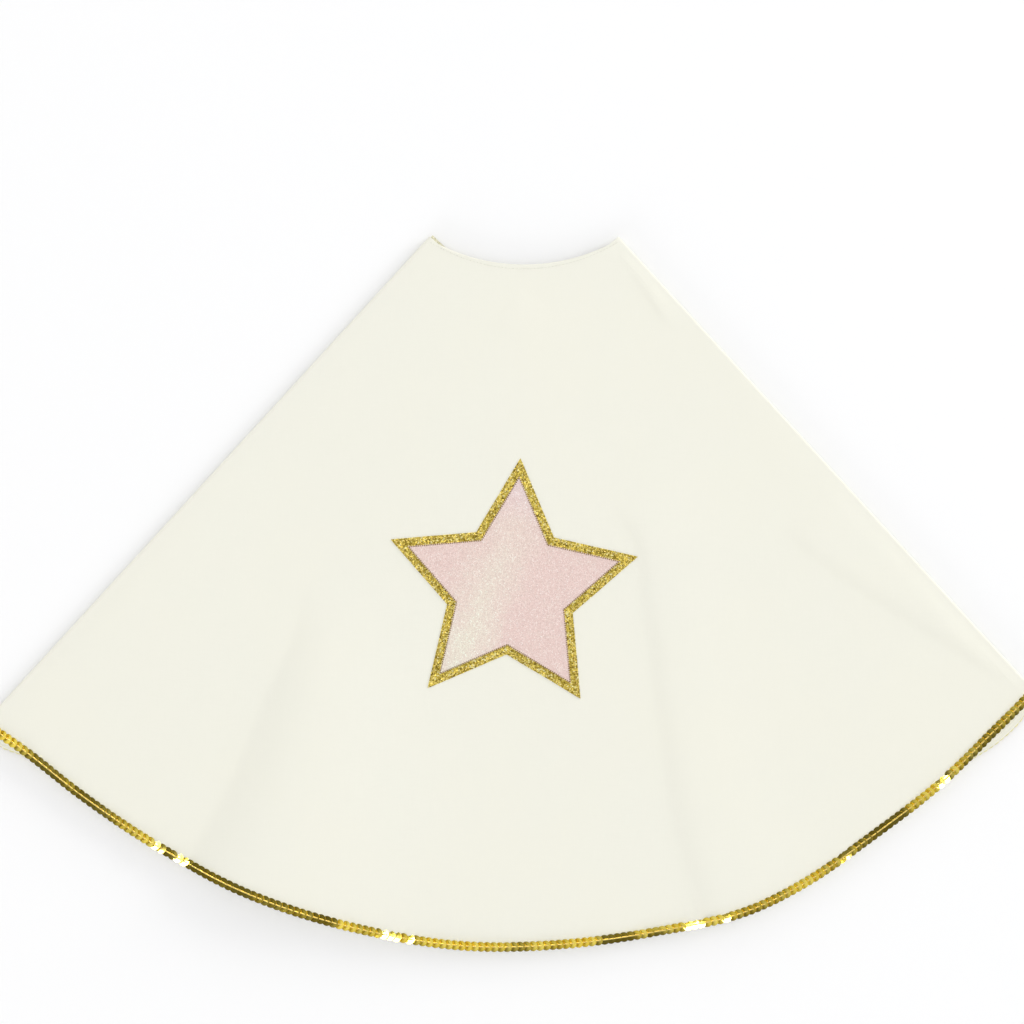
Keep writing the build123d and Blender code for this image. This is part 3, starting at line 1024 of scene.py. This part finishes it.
def hem_angle(places):
    return np.degrees(np.arctan2(places[:, 0], APEX_Y - places[:, 1]))


def back_lean(places):
    count = len(places)
    steady = np.interp(hem_angle(places), sorted(LEAN), [LEAN[key] for key in sorted(LEAN)])
    return steady + 2.2 * wander(count, 1, 31) + 1.2 * wander(count, 4, 32)


def back_twist(places):
    count = len(places)
    return 3.0 * wander(count, 5, 33) + 2.4 * wander(count, 1, 34)


def at_the_light(places):
    """The way a sequin faces to mirror the small light straight up, and which ones do."""
    to_light = unit(np.array(GLINT_LIGHT) / MM - places)
    target = unit(to_light + np.array([0, 0, 1.0]))
    angle = hem_angle(places)
    share = np.zeros(len(places))
    for place, reach in GLINTS.items():
        share = np.maximum(share, smooth(1.6 - np.abs(angle - place) / reach))
    return target, share


angles = np.linspace(-FOLD_ANGLE + 0.25, FOLD_ANGLE - 0.25, 700)
line = on_back(*spot(hem_radius(angles), angles))
strung("back", line, back_lean, back_twist, 1, 0.3, 35, at_the_light)
for side, word in FRONTS.items():
    turn = np.linspace(0.5, FRONT_ANGLE - 0.15, 330)
    line = under_front(side, front_hem[side](turn), turn)
    strung(
        f"front_{word}", line,
        lambda places: 12 + 1.5 * wander(len(places), 2, 41 + side),
        lambda places: 2.0 * wander(len(places), 2, 44 + side),
        -1, 0.12, 47 + side,
    )

# ---- Closure strap -------------------------------------------------------------------------


def strap_radius(angle, offset):
    share = (angle - FRONT_EDGE_ANGLE) / (STRAP_TIP_ANGLE - FRONT_EDGE_ANGLE)
    return STRAP_ROOT_R + (STRAP_TIP_R - STRAP_ROOT_R) * share + offset


def on_strap(angle, offset, height, side=-1):
    """A point on the folded strap, or for side 1 on what it closes over."""
    angle, offset = np.broadcast_arrays(np.asarray(angle, float), np.asarray(offset, float))
    turn = -angle if side < 0 else angle - 2 * FRONT_EDGE_ANGLE
    return raised(spot(strap_radius(angle, offset), turn), height)


STRAP_T = 0.75
# The strap comes out of the front edge's seam, turns back on itself, and lies along the neck.
ROOT = ((-1.2, 3.0), (0.5, 2.75), (1.0, 2.2), (0.7, 1.5))       # past the edge, and height
offsets = np.linspace(0.4, STRAP_W - 0.4, 14)[None, :]
rows = []
for past_edge, height in ROOT:
    radius = STRAP_ROOT_R + offsets
    turn = np.degrees(np.arcsin(-past_edge / radius))
    rows.append(raised(spot(radius, -(FRONT_EDGE_ANGLE + turn)), height))
length = np.linspace(FRONT_EDGE_ANGLE + 0.35, STRAP_TIP_ANGLE - 0.2, 56)[:, None]
rows.append(on_strap(length, offsets, STRAP_MID))
grid = np.concatenate(rows, 0)
# the strap is gold glitter, drawn with its pale copy as a painted highlight
strap_gold = make(
    "strap_gold", cloth(grid, STRAP_T), "gold_glitter", None, "closure_strap", "gold_glitter_painted_highlight"
)
x, y = spot(125.0, -FRONT_EDGE_ANGLE)
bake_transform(strap_gold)
angles = np.linspace(FRONT_EDGE_ANGLE + 1.5, STRAP_TIP_ANGLE - 1, 60)
line = on_strap(angles, STRAP_W - STRAP_STITCH_IN - 0.4, STRAP_MID + 0.4)
stitches(
    "stitches_strap", [line], 2.6, 0.5, (0, 0, 1), "gold_thread", "strap", "strap_stitching", 51
)


TAPE_SHARE, BRISTLE_SHARE = 0.62, 0.36          # of a pad's thickness
BRISTLE_R = 0.09


def hooks(places, ways, up, tall, hook_turn):
    """Points and faces of many little bent bristles."""
    turn = np.radians(np.linspace(0, hook_turn, 5))
    path = np.stack(
        [tall * 0.45 * (1 - np.cos(turn)), 0 * turn, tall * np.sin(np.minimum(turn, pi / 2))], 1
    )
    path[turn > pi / 2, 2] = tall * np.sin(turn[turn > pi / 2])
    template, faces = tube(path, BRISTLE_R, 4)
    return copies(template, faces, places, ways, up)


def pad(word, side, body, bristle_up, hook_turn, seed):
    """A strip of tape with its bristles or loops, and two rows of stitching."""
    node = f"{word}_pad"
    bottom, top = low(node), high(node)
    near, far = PAD_MARGIN_IN, STRAP_W - PAD_MARGIN_OUT
    angle = np.linspace(PAD_NEAR_ANGLE, PAD_FAR_ANGLE, 26)[:, None]
    offset = np.linspace(near + 0.15, far - 0.15, 12)[None, :]
    grid = on_strap(angle, offset, (bottom + top) / 2, side)
    thickness = (top - bottom) * TAPE_SHARE
    base = (top - bottom - thickness) / 2
    grid[..., 2] -= base * bristle_up
    points, faces = cloth(grid, thickness)
    random = np.random.RandomState(seed)
    a, o = np.meshgrid(
        np.linspace(PAD_NEAR_ANGLE + 0.6, PAD_FAR_ANGLE - 0.6, 34),
        np.linspace(near + 0.9, far - 0.9, 13),
    )
    a = a.ravel() + random.uniform(-0.12, 0.12, a.size)
    o = o.ravel() + random.uniform(-0.2, 0.2, o.size)
    surface = (bottom + top) / 2 - base * bristle_up + bristle_up * thickness / 2
    feet = on_strap(a, o, surface - 0.02 * bristle_up, side)
    swing = random.uniform(0, 2 * pi, len(feet))
    ways = np.stack([np.cos(swing), np.sin(swing), 0 * swing], -1)
    ups = np.tile([0.0, 0.0, float(bristle_up)], (len(feet), 1))
    more, more_faces = hooks(feet, ways, ups, (top - bottom) * BRISTLE_SHARE, hook_turn)
    shift = len(points)
    every = np.concatenate([points, more])
    joined = list(faces) + [tuple(shift + k for k in face) for face in more_faces]
    make(f"tape_{word}", (every, joined), f"{word}_tape", body, node)
    rows = [
        on_strap(angle.ravel(), at, surface, side)
        for at in (near + PAD_STITCH_IN + 0.4, far - PAD_STITCH_IN - 0.4)
    ]
    stitches(
        f"stitches_tape_{word}", rows, 2.4, 0.42, (0, 0, bristle_up), "cream_thread",
        body, f"{node}_stitching", seed + 1,
    )


pad("hook", -1, "strap", -1, 150, 61)
pad("loop", 1, "front_right", -1, 180, 63)

# ---- Floor, light and camera ---------------------------------------------------------------

FLOOR_HALF, FLOOR_Z = 9.0, -0.0003              # in metres
data = bpy.data.meshes.new("floor")
corners = [(FLOOR_HALF * x, FLOOR_HALF * y, FLOOR_Z) for x, y in ((-1, -1), (1, -1), (1, 1), (-1, 1))]
data.from_pydata(corners, [], [(0, 1, 2, 3)])
floor = bpy.data.objects.new("floor", data)
bpy.context.scene.collection.objects.link(floor)
floor_look = Shader("floor_white", Roughness=0.9)
floor_look.surface.inputs["Specular IOR Level"].default_value = 0.1
tone = floor_look.noise(3.0, 2)
floor_look.finish(floor_look.mix(tone, (0.95, 0.95, 0.953), (0.955, 0.955, 0.958)))
data.materials.append(looks["floor_white"])


MIDDLE = Vector((-0.01, -0.25, 0))


def area_light(name, place, size, power):
    """An area light in metres and watts, aimed at the middle of the cape."""
    light = bpy.data.lights.new(name, "AREA")
    light.shape = "RECTANGLE"
    light.size, light.size_y = size
    light.energy = power
    lamp = bpy.data.objects.new(name, light)
    bpy.context.scene.collection.objects.link(lamp)
    lamp.location = place
    lamp.rotation_euler = (MIDDLE - Vector(place)).to_track_quat("-Z", "Y").to_euler()
    lamp.visible_camera = False
    return lamp


# what shades the cloth and the floor
for lamp in (
    area_light("overhead_light", (0, -0.25, 7.8), (4.0, 4.0), 102),
    area_light("slant_light", (8.77, 3.94, 2.25), (4.0, 3.0), 350),
    area_light("slant_light_north", (1.67, 9.2, 2.25), (4.0, 3.0), 95),
    area_light("slant_light_south", (-4.6, -8.8, 2.25), (4.0, 3.0), 225),
):
    lamp.visible_glossy = False
# what glitter and sequins mirror
for lamp in (
    area_light("key_light", (-1.05, 2.17, 2.45), (1.6, 1.0), 36),
    area_light("glint_light", GLINT_LIGHT, (1.1, 1.0), 54),
):
    lamp.visible_diffuse = False

# How bright the gloss sees it all round, by the sine of the height above the horizon: pale walls,
# and a ceiling that is dark above about 60 degrees
WALLS = ((0.0, 0.95), (0.55, 0.9), (0.76, 0.38), (0.86, 0.14), (1.0, 0.1))
GLOW_NORTH = 0.22           # how much brighter than that it is towards +Y
EVEN = 0.73                 # cloth and floor are lit by this strength all round instead
world = bpy.data.worlds.new("studio")
bpy.context.scene.world = world
sky = Nodes(world)
way = sky.add("SeparateXYZ", Vector=sky.add("TexCoord").outputs["Generated"])
gloss = sky.tree.nodes["Background"]
levels = [(at, (level,) * 3) for at, level in WALLS]
sky.put(gloss.inputs["Color"], sky.ramp(way.outputs["Z"], levels))
sky.put(gloss.inputs["Strength"], sky.math("MULTIPLY_ADD", way.outputs["Y"], GLOW_NORTH, 1.0))
even = sky.add("Background", Color=(1, 1, 1, 1), Strength=EVEN)
either = sky.add("MixShader")
diffuse_ray = sky.add("LightPath").outputs["Is Diffuse Ray"]
for socket, value in zip(either.inputs, (diffuse_ray, gloss.outputs[0], even.outputs[0])):
    sky.put(socket, value)
sky.put(sky.tree.nodes["World Output"].inputs["Surface"], either.outputs[0])

camera_data = bpy.data.cameras.new("camera")
camera_data.sensor_width = 36.0
camera_data.lens = 100.0
camera = bpy.data.objects.new("camera", camera_data)
bpy.context.scene.collection.objects.link(camera)
VIEW_X, VIEW_Y, VIEW_WIDTH = -9.6, -197.6, 819.2
reach = VIEW_WIDTH * camera_data.lens / camera_data.sensor_width
camera.location = (VIEW_X * MM, VIEW_Y * MM, (BACK_TOP + reach) * MM)
camera_data.clip_end = 60.0
bpy.context.scene.camera = camera
bpy.context.scene.view_settings.view_transform = "Standard"
bpy.context.scene.view_settings.look = "None"
